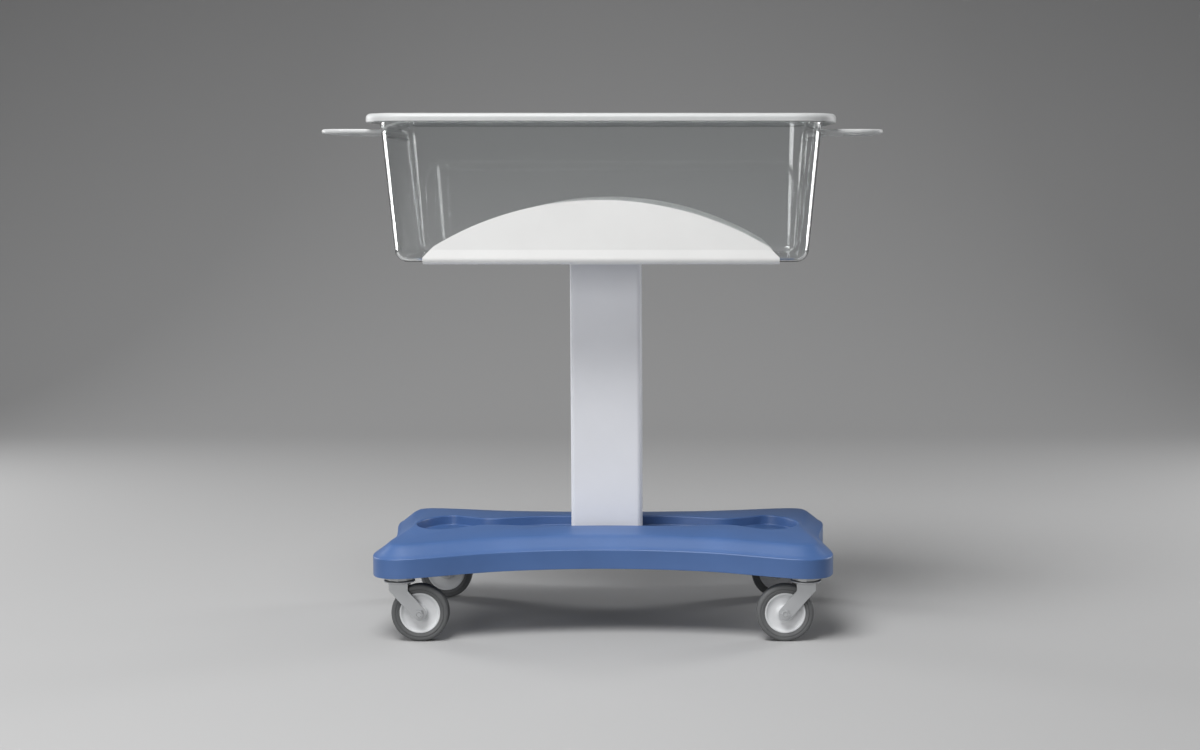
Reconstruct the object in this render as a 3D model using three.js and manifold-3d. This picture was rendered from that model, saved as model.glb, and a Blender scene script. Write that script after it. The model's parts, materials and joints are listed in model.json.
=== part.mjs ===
// Hospital bassinet: a clear tub in a white saddle, on a box column and a blue base with four castors.
// Millimetres, +Z up, origin on the floor under the column, X along the tub, the front at -Y.
import * as THREE from 'three';
import { mergeVertices } from 'three/addons/utils/BufferGeometryUtils.js';
import Module from 'manifold-3d';

const wasm = await Module();
wasm.setup();

// Clearances
const seatGap = 0.3; // between two pieces that rest on each other
const boreGap = 0.3; // all round a pin in its hole
const wheelSideGap = 2; // between a wheel and each fork leg
const wheelTopGap = 4; // between a wheel and its fork's crown
const tubSideGap = 0.6; // between the tub's wall and a saddle cheek
const columnHoleGap = 0.6; // all round the column where it passes through the base cover
const cutMargin = 2; // how far a cutting tool runs past the face that it cuts

// Castors
const wheelDiameter = 100;
const tyreWidth = 26;
const tyreShoulder = 5;
const tyreShoulderFall = 1.25;
const tyreGrooveDepth = 1;
const tyreGrooveRadius = 42;
const coreRadius = 35.5;
const coreWidth = 22;
const coreDish = 4;
const coreLipWidth = 3;
const coreHubRadius = 13;
const axleDiameter = 8;
const axleHeadRadius = 7;
const axleHeadCrownRadius = 4.9;
const axleHeadHeight = 3.5;
const axleNutFlats = 13;
const axleNutHeight = 6;
const castorTrail = 36;
const forkLegThickness = 2.5;
const forkLegWidth = 33;
const forkEyeRadius = 12;
const forkKneeDrop = 13;
const forkCrownRadius = 27;
const forkCrownThickness = 3;
const swivelBearingHeight = 6.4;
const swivelBearingRadius = 20;
const swivelHeadRadius = 25;
const swivelHeadThickness = 6;
const swivelSkirtThickness = 2.5;
const swivelSkirtDrop = 5;
const kingpinDiameter = 9.4;
const kingpinHeadRadius = 8;
const kingpinHeadHeight = 4;
const stemDiameter = 12;
const stemNutFlats = 19;
const stemNutHeight = 7;
const stemEndAboveNut = 3;

// Steel chassis inside the base
const tubeHeight = 25;
const tubeWall = 2;
const crossbarWidth = 36;
const crossbarOverrun = 14; // past a castor's axis
const beamWidth = 60;

// Base cover
const coverLength = 804;
const coverWidth = 436;
const coverEndWaist = 776;
const coverSideWaist = 302;
const coverLobeRadius = 52;
const coverSideBow = 0.25; // share of the side's waist that is made up half way to a lobe
const castorInsetX = 48; // from the cover's end to a castor's axis
const castorInsetY = 38; // from the cover's side to a castor's axis
const coverSkirtBottom = 114;
const coverSkirtHeight = 35;
const coverEdgeRound = 2.5;
const coverBevelInset = 27;
const coverBevelRise = 18;
const coverShoulderInset = 5; // from the bevel's top edge to the shoulder
const coverShoulderShare = 1 / 3; // of the rise from the bevel to the top
const coverCrownShare = 3 / 4;
const coverTopRise = 25;
const coverArch = 6;
const coverWall = 3;
const recessDepth = 18;
const recessDraft = 1.5;
const recessLength = 694;
const recessLobeWidth = 146;
const recessLobeSpan = 584;
const recessEndShare = 1 / 3; // of an end's length, where it is drawn in to the width below
const recessEndWidth = 105.12;
const recessWaistWidth = 66;
const recessWaistSpan = 444;
const recessPocketWidth = 100;
const recessPocketLength = 260;
const coverBossRadius = 8;
const coverBossSpan = 400;
const coverScrewDiameter = 5;
const coverScrewHeadRadius = 5;
const coverScrewHeadHeight = 3;
const coverScrewGrip = 6;

// Column
const columnWidth = 127;
const columnDepth = 80;
const columnCorner = 8;
const columnWall = 3;
const footPlateLength = 184;
const footPlateWidth = 92;
const footPlateThickness = 5;
const footPlateCorner = 10;
const footDrainRadius = 20;
const footBoltSpanX = 156;
const footBoltSpanY = 36;
const footBoltDiameter = 8;
const footBoltFlats = 13;
const footBoltHeadHeight = 5.3;
const footBoltGrip = 8;
const headPlateThickness = 8;

// Saddle
const saddleUnderside = 656;
const saddleSheet = 3;
const saddleBend = 8;
const saddleLength = 612;
const saddleTipHeight = 12;
const saddleTipChamfer = 19;
const saddleCheekHeight = 110.5;
const saddleScrewSpanX = 80;
const saddleScrewSpanY = 44;
const saddleScrewDiameter = 6;
const saddleScrewHeadRadius = 5.5;
const saddleScrewGrip = 7;

// Tub
const tubFloorLength = 715;
const tubFloorWidth = 362;
const tubCorner = 28;
const tubBottomRound = 22;
const tubTaper = 0.1;
const tubWall = 5;
const tubTop = 913;
const rimOverhang = 24;
const rimDepth = 15.5;
const rimThickness = 5;
const rimRound = 8;
const rimSmallRound = 1;
const rimLipCut = 1.333;
const earTip = 488;
const earWidth = 300;
const earThickness = 8;
const earDropFromRim = 10;
const earCorner = 45;
const earFillet = 12;
const earFilletInset = 11.25; // from the ear's side to the end of its fillet
const handSlotLength = 190;
const handSlotWidth = 34;
const handGripWidth = 26;

// Facets
const hexagonSides = 6;
const wheelSides = 20;
const roundSides = 10;
const smallSides = 8;
const outlinePoints = 56;
const cornerSteps = 4;
const filletSteps = 3;
const arcSteps = 24;
const weldDistance = 1e-4;
const arcSides = 2 * cornerSteps; // facets of a full circle in a prism

// Heights that follow from the sizes above
const castorSpanX = coverLength - 2 * castorInsetX;
const castorSpanY = coverWidth - 2 * castorInsetY;
const crossbarLength = castorSpanY + 2 * crossbarOverrun;
const axleHeight = wheelDiameter / 2;
const crownBottom = wheelDiameter + wheelTopGap;
const crownTop = crownBottom + forkCrownThickness;
const bearingBottom = crownTop + seatGap;
const bearingTop = bearingBottom + swivelBearingHeight;
const swivelHeadBottom = bearingTop + seatGap;
const swivelHeadTop = swivelHeadBottom + swivelHeadThickness;
const tubeBottom = swivelHeadTop + seatGap;
const tubeTop = tubeBottom + tubeHeight;
const footPlateBottom = tubeTop + seatGap;
const footPlateTop = footPlateBottom + footPlateThickness;
const coverSkirtTop = coverSkirtBottom + coverSkirtHeight;
const coverBevelTop = coverSkirtTop + coverBevelRise;
const coverTop = coverSkirtTop + coverTopRise;
const recessFloor = coverTop - recessDepth;
const columnTop = saddleUnderside - seatGap;
const saddleTop = saddleUnderside + saddleSheet;
const tubBottom = saddleTop + seatGap;
const tubWallStart = tubBottom + tubBottomRound;

// A faceted hole keeps its clearance at the middle of each facet.
const holeRadius = (diameter, sides) => (diameter / 2 + boreGap) / Math.cos(Math.PI / sides);

// Materials
const finish = (color, roughness, metalness) =>
  new THREE.MeshStandardMaterial({ color, roughness, metalness });
const clearPlastic = new THREE.MeshStandardMaterial({
  color: 0xe6ecee,
  roughness: 0.06,
  metalness: 0,
  transparent: true,
  opacity: 0.35,
});
const bluePlastic = finish(0x3f69b4, 0.42, 0);
const whitePaint = finish(0xeceded, 0.35, 0);
const palePaint = finish(0xd9dce4, 0.38, 0);
const darkPaint = finish(0x33363a, 0.55, 0.1);
const zincSteel = finish(0xb9bcc0, 0.35, 0.9);
const greyRubber = finish(0x55585a, 0.8, 0);
const greyPlastic = finish(0xc6c8ca, 0.45, 0);

// Solids: joining and cutting
// Triangles whose three corners are three different points
function withoutSlivers(index) {
  const kept = [];
  for (let i = 0; i < index.length; i += 3) {
    const [a, b, c] = index.slice(i, i + 3);
    if (a !== b && b !== c && c !== a) {
      kept.push(a, b, c);
    }
  }
  return kept;
}

function solid(geometry) {
  const bare = geometry.index ? geometry.toNonIndexed() : geometry.clone();
  bare.deleteAttribute('normal');
  bare.deleteAttribute('uv');
  const merged = mergeVertices(bare, weldDistance);
  const vertProperties = new Float32Array(merged.attributes.position.array);
  const triVerts = new Uint32Array(withoutSlivers(merged.index.array));
  return new wasm.Manifold(new wasm.Mesh({ numProp: 3, vertProperties, triVerts }));
}

function geometryOf(body) {
  const mesh = body.getMesh();
  const geometry = new THREE.BufferGeometry();
  geometry.setAttribute('position', new THREE.BufferAttribute(mesh.vertProperties, 3));
  geometry.setIndex(new THREE.BufferAttribute(mesh.triVerts, 1));
  geometry.computeVertexNormals();
  return geometry;
}

const joined = (geometries) => geometries.map(solid).reduce((sum, next) => sum.add(next));
const cut = (body, geometries) => geometries.map(solid).reduce((rest, next) => rest.subtract(next), body);

function piece(name, shape, material) {
  const geometry = shape.isBufferGeometry ? shape : geometryOf(shape);
  const mesh = new THREE.Mesh(geometry, material);
  mesh.name = name;
  return mesh;
}

// Shapes: revolves about Z, prisms along Z or Y, and lofts through rings
function revolve(profile, sides) {
  const points = profile.map(([radius, height]) => new THREE.Vector2(radius, height));
  return new THREE.LatheGeometry(points, sides).rotateX(Math.PI / 2);
}

const revolveRing = (profile, sides) => revolve([...profile, profile[0]], sides);

function prismZ(shape, bottom, top) {
  const options = { depth: top - bottom, bevelEnabled: false, curveSegments: cornerSteps };
  return new THREE.ExtrudeGeometry(shape, options).translate(0, 0, bottom);
}

// The shape is drawn in X and Z, and runs from back to front along Y.
function prismY(shape, back, front, curveSegments = cornerSteps) {
  const options = { depth: back - front, bevelEnabled: false, curveSegments };
  return new THREE.ExtrudeGeometry(shape, options).rotateX(Math.PI / 2).translate(0, back, 0);
}

// The shape is drawn in Y and Z, and runs along X on both sides of the middle.
function prismX(shape, length) {
  const options = { depth: length, bevelEnabled: false, curveSegments: cornerSteps };
  return new THREE.ExtrudeGeometry(shape, options)
    .translate(0, 0, -length / 2)
    .rotateX(Math.PI / 2)
    .rotateZ(Math.PI / 2);
}

const rod = (x, y, radius, bottom, top, sides = smallSides) =>
  revolve([[0, bottom], [radius, bottom], [radius, top], [0, top]], sides).translate(x, y, 0);

function roundedRectangle(width, height, corner) {
  const x = width / 2 - corner;
  const y = height / 2 - corner;
  const shape = new THREE.Shape();
  shape.absarc(x, y, corner, 0, Math.PI / 2);
  shape.absarc(-x, y, corner, Math.PI / 2, Math.PI);
  shape.absarc(-x, -y, corner, Math.PI, 1.5 * Math.PI);
  shape.absarc(x, -y, corner, 1.5 * Math.PI, 2 * Math.PI);
  return shape;
}

function hexagon(flats, holeRadius = 0) {
  const radius = flats / Math.sqrt(3);
  const turns = Array.from({ length: hexagonSides }, (_, side) => (side * 2 * Math.PI) / hexagonSides);
  const corners = turns.map((turn) => new THREE.Vector2(radius * Math.cos(turn), radius * Math.sin(turn)));
  const shape = new THREE.Shape(corners);
  if (holeRadius > 0) {
    shape.holes.push(new THREE.Path().absarc(0, 0, holeRadius, 0, 2 * Math.PI, true));
  }
  return shape;
}

function roundedRing(halfX, halfY, corner, z, steps) {
  const quarters = [[1, 1], [-1, 1], [-1, -1], [1, -1]];
  return quarters.flatMap(([signX, signY], quarter) =>
    Array.from({ length: steps + 1 }, (_, step) => {
      const angle = ((quarter + step / steps) * Math.PI) / 2;
      const x = signX * (halfX - corner) + corner * Math.cos(angle);
      const y = signY * (halfY - corner) + corner * Math.sin(angle);
      return new THREE.Vector3(x, y, z);
    }));
}

// Skins a row of rings with equal point counts, and closes its two ends unless they are pinched shut.
function loft(rings, pinched = false) {
  const count = rings[0].length;
  const index = [];
  for (let band = 0; band < rings.length - 1; band += 1) {
    const here = band * count;
    const next = here + count;
    for (let i = 0; i < count; i += 1) {
      const j = (i + 1) % count;
      index.push(here + i, here + j, next + j, here + i, next + j, next + i);
    }
  }
  if (!pinched) {
    const last = (rings.length - 1) * count;
    for (let i = 1; i < count - 1; i += 1) {
      index.push(0, i + 1, i, last, last + i, last + i + 1);
    }
  }
  const geometry = new THREE.BufferGeometry();
  const values = rings.flat().flatMap((point) => point.toArray());
  geometry.setAttribute('position', new THREE.Float32BufferAttribute(values, 3));
  geometry.setIndex(index);
  return geometry;
}

const pairs = (spanX, spanY) =>
  [[-1, -1], [1, -1], [-1, 1], [1, 1]].map(([x, y]) => [(x * spanX) / 2, (y * spanY) / 2]);

// Castor: the stem and head stay with the base, the fork swivels, the wheel rolls
function castorFork() {
  const wheelRoom = tyreWidth / 2 + wheelSideGap;
  const outside = wheelRoom + forkLegThickness;
  const half = forkLegWidth / 2;
  const knee = crownBottom - forkKneeDrop;
  const eye = new THREE.Vector2(castorTrail, axleHeight);
  const tangent = (x, side) => {
    const away = new THREE.Vector2(x - eye.x, knee - eye.y);
    return Math.atan2(away.y, away.x) + side * Math.acos(forkEyeRadius / away.length());
  };
  const leg = new THREE.Shape();
  leg.moveTo(half, crownTop);
  leg.lineTo(-half, crownTop);
  leg.lineTo(-half, knee);
  leg.absarc(eye.x, eye.y, forkEyeRadius, tangent(-half, 1), tangent(half, -1) + 2 * Math.PI);
  leg.lineTo(half, knee);
  const axleHole = new THREE.Path();
  axleHole.absarc(eye.x, eye.y, holeRadius(axleDiameter, arcSides), 0, 2 * Math.PI, true);
  leg.holes.push(axleHole);
  const bore = holeRadius(kingpinDiameter, wheelSides);
  const crown = revolveRing([
    [bore, crownBottom],
    [forkCrownRadius, crownBottom],
    [forkCrownRadius, crownTop],
    [bore, crownTop],
  ], wheelSides);
  return joined([prismY(leg, outside, wheelRoom), prismY(leg, -wheelRoom, -outside), crown]);
}

function castorStem() {
  const inside = swivelHeadRadius - swivelSkirtThickness;
  const skirtBottom = swivelHeadBottom - swivelSkirtDrop;
  const stemTop = tubeTop + seatGap + stemNutHeight + stemEndAboveNut;
  return revolve([
    [0, swivelHeadBottom],
    [inside, swivelHeadBottom],
    [inside, skirtBottom],
    [swivelHeadRadius, skirtBottom],
    [swivelHeadRadius, swivelHeadTop],
    [stemDiameter / 2, swivelHeadTop],
    [stemDiameter / 2, stemTop],
    [0, stemTop],
  ], roundSides);
}

function castorKingpin() {
  const headTop = crownBottom - seatGap;
  return revolve([
    [0, headTop - kingpinHeadHeight],
    [kingpinHeadRadius, headTop - kingpinHeadHeight],
    [kingpinHeadRadius, headTop],
    [kingpinDiameter / 2, headTop],
    [kingpinDiameter / 2, swivelHeadBottom - seatGap],
    [0, swivelHeadBottom - seatGap],
  ], roundSides);
}

function swivelBearing() {
  const bore = holeRadius(kingpinDiameter, roundSides);
  return revolveRing([
    [bore, bearingBottom],
    [swivelBearingRadius, bearingBottom],
    [swivelBearingRadius, bearingTop],
    [bore, bearingTop],
  ], roundSides);
}

function tyre() {
  const half = tyreWidth / 2;
  const radius = wheelDiameter / 2;
  const seat = coreRadius + seatGap;
  const side = [
    [seat, coreWidth / 2],
    [tyreGrooveRadius - tyreGrooveDepth, half],
    [tyreGrooveRadius, half - tyreGrooveDepth],
    [tyreGrooveRadius + tyreGrooveDepth, half],
    [radius - tyreShoulder / 2, half - tyreShoulderFall],
    [radius, half - tyreShoulder],
  ];
  const mirrored = side.map(([r, y]) => [r, -y]);
  return revolveRing([...mirrored, ...side.reverse()], wheelSides);
}

function wheelCore() {
  const rim = coreWidth / 2;
  const hub = tyreWidth / 2 + wheelSideGap / 2;
  const bore = holeRadius(axleDiameter, wheelSides);
  const side = [
    [bore, hub],
    [coreHubRadius, hub],
    [coreHubRadius + coreLipWidth, rim - coreDish],
    [coreRadius - 2 * coreLipWidth, rim - coreDish],
    [coreRadius - coreLipWidth, rim],
    [coreRadius, rim],
  ];
  const mirrored = side.map(([r, y]) => [r, -y]);
  return revolveRing([...mirrored, ...side.reverse()], wheelSides);
}

function axleBolt() {
  const face = tyreWidth / 2 + wheelSideGap + forkLegThickness + seatGap;
  const end = face + axleNutHeight + seatGap;
  return revolve([
    [0, -face - axleHeadHeight],
    [axleHeadCrownRadius, -face - axleHeadHeight],
    [axleHeadRadius, -face - axleHeadHeight / 2],
    [axleHeadRadius, -face],
    [axleDiameter / 2, -face],
    [axleDiameter / 2, end],
    [0, end],
  ], roundSides);
}

function castor(place, signX, signY) {
  const group = new THREE.Group();
  group.position.set((signX * castorSpanX) / 2, (signY * castorSpanY) / 2, 0);
  // The wheels trail towards the middle, and the bolt heads face away from it.
  const turned = new THREE.Group();
  turned.rotation.z = signX > 0 ? Math.PI : 0;
  const headToFront = signX * signY > 0 ? Math.PI : 0;
  const hub = new THREE.Group();
  hub.position.set(castorTrail, 0, axleHeight);
  hub.rotation.set(-Math.PI / 2, 0, 0);
  const bolted = new THREE.Group();
  bolted.rotation.x = headToFront;
  const nutBottom = tubeTop + seatGap;
  const axleNutFace = tyreWidth / 2 + wheelSideGap + forkLegThickness + seatGap;
  const stemBore = holeRadius(stemDiameter, arcSides);
  const axleBore = holeRadius(axleDiameter, arcSides);
  const stemNut = prismZ(hexagon(stemNutFlats, stemBore), nutBottom, nutBottom + stemNutHeight);
  const axleNut = prismZ(hexagon(axleNutFlats, axleBore), axleNutFace, axleNutFace + axleNutHeight);
  group.add(piece(`castor_stem_${place}`, castorStem(), zincSteel));
  group.add(piece(`castor_nut_${place}`, stemNut, zincSteel));
  group.add(piece(`castor_kingpin_${place}`, castorKingpin(), zincSteel));
  group.add(piece(`swivel_bearing_${place}`, swivelBearing(), zincSteel));
  turned.add(piece(`castor_fork_${place}`, castorFork(), zincSteel));
  hub.add(piece(`wheel_core_${place}`, wheelCore(), greyPlastic));
  hub.add(piece(`tyre_${place}`, tyre(), greyRubber));
  bolted.add(piece(`axle_bolt_${place}`, axleBolt(), zincSteel));
  bolted.add(piece(`axle_nut_${place}`, axleNut, zincSteel));
  hub.add(bolted);
  turned.add(hub);
  group.add(turned);
  return group;
}

// Chassis: a beam between two crossbars, of rectangular steel tube
function tubeSection(width) {
  const section = new THREE.Shape();
  const hole = new THREE.Path();
  const box = (path, inset) => {
    const half = width / 2 - inset;
    path.moveTo(-half, tubeBottom + inset);
    path.lineTo(half, tubeBottom + inset);
    path.lineTo(half, tubeTop - inset);
    path.lineTo(-half, tubeTop - inset);
    path.closePath();
  };
  box(section, 0);
  box(hole, tubeWall);
  section.holes.push(hole);
  return section;
}

function crossbar(signX) {
  const x = (signX * castorSpanX) / 2;
  const bar = prismY(tubeSection(crossbarWidth), crossbarLength / 2, -crossbarLength / 2);
  const bore = holeRadius(stemDiameter, smallSides);
  const holes = [-1, 1].map((signY) =>
    rod(0, (signY * castorSpanY) / 2, bore, tubeBottom - cutMargin, tubeTop + cutMargin));
  return geometryOf(cut(solid(bar), holes)).translate(x, 0, 0);
}

function beam() {
  const length = castorSpanX - crossbarWidth - 2 * seatGap;
  const bar = solid(prismX(tubeSection(beamWidth), length));
  const boltBore = holeRadius(footBoltDiameter, smallSides);
  const boltHoles = pairs(footBoltSpanX, footBoltSpanY).map(([x, y]) =>
    rod(x, y, boltBore, tubeTop - tubeWall - cutMargin, tubeTop + cutMargin));
  const screwBore = holeRadius(coverScrewDiameter, smallSides);
  const screwHoles = [-1, 1].map((sign) =>
    rod((sign * coverBossSpan) / 2, 0, screwBore, tubeBottom - cutMargin, tubeTop + cutMargin));
  return cut(bar, [...boltHoles, ...screwHoles]);
}

// Base cover: four lobes with drawn-in sides, a bevelled top and a sunk channel round the column
function fourfold(quarter) {
  const inner = quarter.slice(1, -1);
  const place = (list, signX, signY) => list.map(([x, y]) => new THREE.Vector3(signX * x, signY * y, 0));
  return new THREE.CatmullRomCurve3([
    ...place([quarter[0]], 1, 1),
    ...place(inner, 1, 1),
    ...place([quarter.at(-1)], 1, 1),
    ...place([...inner].reverse(), -1, 1),
    ...place([quarter[0]], -1, 1),
    ...place(inner, -1, -1),
    ...place([quarter.at(-1)], -1, -1),
    ...place([...inner].reverse(), 1, -1),
  ], true);
}

const coverBowWidth = coverSideWaist + (coverWidth - coverSideWaist) * coverSideBow;
const diagonal = coverLobeRadius * (1 - Math.SQRT1_2);
const coverCurve = fourfold([
  [coverEndWaist / 2, 0],
  [coverLength / 2, coverWidth / 2 - coverLobeRadius],
  [coverLength / 2 - diagonal, coverWidth / 2 - diagonal],
  [coverLength / 2 - coverLobeRadius, coverWidth / 2],
  [(coverLength / 2 - coverLobeRadius) / 2, coverBowWidth / 2],
  [0, coverSideWaist / 2],
]);
const recessCurve = fourfold([
  [recessLength / 2, 0],
  [recessLength / 2 - ((recessLength - recessLobeSpan) / 2) * recessEndShare, recessEndWidth / 2],
  [recessLobeSpan / 2, recessLobeWidth / 2],
  [recessWaistSpan / 2, recessWaistWidth / 2],
  [recessPocketLength / 2, recessPocketWidth / 2],
  [0, recessPocketWidth / 2],
]);

const archAt = (x) => coverArch * (1 - (2 * x / coverLength) ** 2);

// A ring at a distance inside a closed curve, at a height that follows the arch
function insetRing(curve, inset, height) {
  return Array.from({ length: outlinePoints }, (_, i) => {
    const along = i / outlinePoints;
    const point = curve.getPointAt(along);
    const heading = curve.getTangentAt(along);
    const x = point.x - inset * heading.y;
    const y = point.y + inset * heading.x;
    return new THREE.Vector3(x, y, height + archAt(x));
  });
}

function betweenRings(first, second, height) {
  return first.map((point, i) => {
    const middle = point.clone().lerp(second[i], 0.5);
    middle.z = height + archAt(middle.x);
    return middle;
  });
}

// A ring folded flat onto the X axis, where its two halves meet
function pinchedRing(ring) {
  return ring.map((point, i) => {
    const twin = ring[Math.min(i, ring.length - i)];
    const tip = 2 * i === ring.length || i === 0;
    return tip ? point.clone() : new THREE.Vector3(twin.x, 0, twin.z);
  });
}

function baseCover() {
  const shoulder = coverBevelInset + coverShoulderInset;
  const shoulderHeight = coverBevelTop + (coverTop - coverBevelTop) * coverShoulderShare;
  const crownHeight = coverBevelTop + (coverTop - coverBevelTop) * coverCrownShare;
  const outerShoulder = insetRing(coverCurve, shoulder, shoulderHeight);
  const outerLip = insetRing(recessCurve, -coverEdgeRound, coverTop);
  const floorRing = insetRing(recessCurve, recessDraft + coverEdgeRound, recessFloor);
  const innerShoulder = insetRing(coverCurve, shoulder, shoulderHeight - coverWall);
  const innerLip = insetRing(recessCurve, -coverEdgeRound - coverWall, coverTop - coverWall);
  const innerFloorRing = insetRing(recessCurve, recessDraft - coverWall / 2, recessFloor - coverWall);
  const underside = [
    pinchedRing(innerFloorRing),
    innerFloorRing,
    insetRing(recessCurve, -coverWall, coverTop - 2 * coverWall),
    innerLip,
    betweenRings(innerShoulder, innerLip, crownHeight - coverWall),
    innerShoulder,
    insetRing(coverCurve, coverBevelInset, coverBevelTop - coverWall),
    insetRing(coverCurve, coverWall, coverSkirtTop - coverWall),
    insetRing(coverCurve, coverWall, coverSkirtBottom),
  ];
  const outside = [
    insetRing(coverCurve, 0, coverSkirtBottom),
    insetRing(coverCurve, 0, coverSkirtTop - coverEdgeRound),
    insetRing(coverCurve, coverEdgeRound, coverSkirtTop),
    insetRing(coverCurve, coverBevelInset, coverBevelTop),
    outerShoulder,
    betweenRings(outerShoulder, outerLip, crownHeight),
    outerLip,
    insetRing(recessCurve, 0, coverTop - coverEdgeRound / 2),
    insetRing(recessCurve, recessDraft, recessFloor + coverEdgeRound),
    floorRing,
    pinchedRing(floorRing),
  ];
  const shell = loft([...underside, ...outside], true);
  const bossBottom = tubeTop + seatGap;
  const bosses = [-1, 1].map((sign) => {
    const x = (sign * coverBossSpan) / 2;
    return rod(x, 0, coverBossRadius, bossBottom, recessFloor + archAt(x) - coverWall / 2, roundSides);
  });
  const pilot = holeRadius(coverScrewDiameter, smallSides);
  const pilotTop = bossBottom + coverScrewGrip + boreGap;
  const pilotHoles = [-1, 1].map((sign) =>
    rod((sign * coverBossSpan) / 2, 0, pilot, bossBottom - cutMargin, pilotTop));
  const opening = roundedRectangle(
    columnWidth + 2 * columnHoleGap,
    columnDepth + 2 * columnHoleGap,
    columnCorner + columnHoleGap,
  );
  const columnHole = prismZ(opening, recessFloor - coverWall - cutMargin, coverTop + coverArch);
  return cut(joined([shell, ...bosses]), [...pilotHoles, columnHole]);
}

function coverScrew(sign) {
  const headTop = tubeBottom - seatGap;
  return revolve([
    [0, headTop - coverScrewHeadHeight],
    [coverScrewHeadRadius, headTop - coverScrewHeadHeight],
    [coverScrewHeadRadius, headTop],
    [coverScrewDiameter / 2, headTop],
    [coverScrewDiameter / 2, tubeTop + coverScrewGrip],
    [0, tubeTop + coverScrewGrip],
  ], smallSides).translate((sign * coverBossSpan) / 2, 0, 0);
}

// Column: a box tube with a foot plate under it and a head plate let into its top
function column() {
  const outside = roundedRectangle(columnWidth, columnDepth, columnCorner);
  const inside = roundedRectangle(
    columnWidth - 2 * columnWall,
    columnDepth - 2 * columnWall,
    columnCorner - columnWall,
  );
  const footPlate = roundedRectangle(footPlateLength, footPlateWidth, footPlateCorner);
  const shell = joined([
    prismZ(outside, footPlateTop - columnWall, columnTop),
    prismZ(footPlate, footPlateBottom, footPlateTop),
  ]);
  const room = prismZ(inside, footPlateTop, columnTop - headPlateThickness);
  const below = footPlateBottom - cutMargin;
  const above = footPlateTop + cutMargin;
  const drain = rod(0, 0, footDrainRadius, below, above, roundSides);
  const boltBore = holeRadius(footBoltDiameter, smallSides);
  const boltHoles = pairs(footBoltSpanX, footBoltSpanY).map(([x, y]) => rod(x, y, boltBore, below, above));
  const screwBore = holeRadius(saddleScrewDiameter, smallSides);
  const screwHoles = pairs(saddleScrewSpanX, saddleScrewSpanY).map(([x, y]) =>
    rod(x, y, screwBore, columnTop - headPlateThickness - cutMargin, columnTop + cutMargin));
  return cut(shell, [room, drain, ...boltHoles, ...screwHoles]);
}

function footBolt(x, y) {
  const headBottom = footPlateTop + seatGap;
  const end = tubeTop - tubeWall - footBoltGrip;
  return joined([
    prismZ(hexagon(footBoltFlats), headBottom, headBottom + footBoltHeadHeight),
    rod(0, 0, footBoltDiameter / 2, end, headBottom + footBoltHeadHeight / 2),
  ]).translate([x, y, 0]);
}

// Saddle: a bent sheet under the tub whose two cheeks rise in an arc along the tub's sides
const bandInside = tubFloorWidth / 2 + tubSideGap;
const cheekTop = saddleUnderside + saddleCheekHeight;

function saddleSection() {
  const insideAtTop = bandInside + tubTaper * (cheekTop + cutMargin - tubWallStart);
  const bendOutside = saddleBend + saddleSheet;
  const bendY = bandInside - saddleBend;
  const bendZ = saddleTop + saddleBend;
  const top = cheekTop + cutMargin;
  const section = new THREE.Shape();
  section.moveTo(-insideAtTop, top);
  section.lineTo(-insideAtTop - saddleSheet, top);
  section.lineTo(-bandInside - saddleSheet, tubWallStart);
  section.absarc(-bendY, bendZ, bendOutside, Math.PI, 1.5 * Math.PI);
  section.absarc(bendY, bendZ, bendOutside, 1.5 * Math.PI, 2 * Math.PI);
  section.lineTo(bandInside + saddleSheet, tubWallStart);
  section.lineTo(insideAtTop + saddleSheet, top);
  section.lineTo(insideAtTop, top);
  section.lineTo(bandInside, tubWallStart);
  section.absarc(bendY, bendZ, saddleBend, 0, -Math.PI / 2, true);
  section.absarc(-bendY, bendZ, saddleBend, -Math.PI / 2, -Math.PI, true);
  section.lineTo(-bandInside, tubWallStart);
  section.closePath();
  return section;
}

function saddleOutline() {
  const half = saddleLength / 2;
  const tip = saddleUnderside + saddleTipHeight;
  const shoulderX = half - saddleTipChamfer;
  const shoulderZ = tip + saddleTipChamfer;
  const rise = cheekTop - shoulderZ;
  const radius = (shoulderX ** 2 + rise ** 2) / (2 * rise);
  const centre = cheekTop - radius;
  const start = Math.atan2(shoulderZ - centre, shoulderX);
  const outline = new THREE.Shape();
  outline.moveTo(-half, saddleUnderside - cutMargin);
  outline.lineTo(half, saddleUnderside - cutMargin);
  outline.lineTo(half, tip);
  outline.absarc(0, centre, radius, start, Math.PI - start);
  outline.lineTo(-half, tip);
  outline.closePath();
  return outline;
}

const countersink = (gap) => [
  [0, saddleTop + gap],
  [saddleScrewHeadRadius + gap, saddleTop + gap],
  [saddleScrewDiameter / 2 + gap, saddleTop - saddleScrewHeadRadius + saddleScrewDiameter / 2 + gap],
];

function saddle() {
  const reach = bandInside + tubTaper * saddleCheekHeight + saddleSheet + cutMargin;
  const sheet = solid(prismX(saddleSection(), saddleLength + 2 * cutMargin));
  const bounded = sheet.intersect(solid(prismY(saddleOutline(), reach, -reach, arcSteps)));
  const below = saddleUnderside - cutMargin;
  const bore = [[0, below], [saddleScrewDiameter / 2 + boreGap, below], ...countersink(boreGap).reverse()];
  const holes = pairs(saddleScrewSpanX, saddleScrewSpanY).map(([x, y]) =>
    revolve(bore, smallSides).translate(x, y, 0));
  return cut(bounded, holes);
}

function saddleScrew(x, y) {
  const end = columnTop - saddleScrewGrip;
  const profile = [[0, end], [saddleScrewDiameter / 2, end], ...countersink(-seatGap / 2).reverse()];
  return revolve(profile, smallSides).translate(x, y, 0);
}

// Tub: a tapered basin with a rolled rim, and a flat ear with a hand slot at each end
const wallAt = (z) => tubTaper * (z - tubWallStart);

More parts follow.
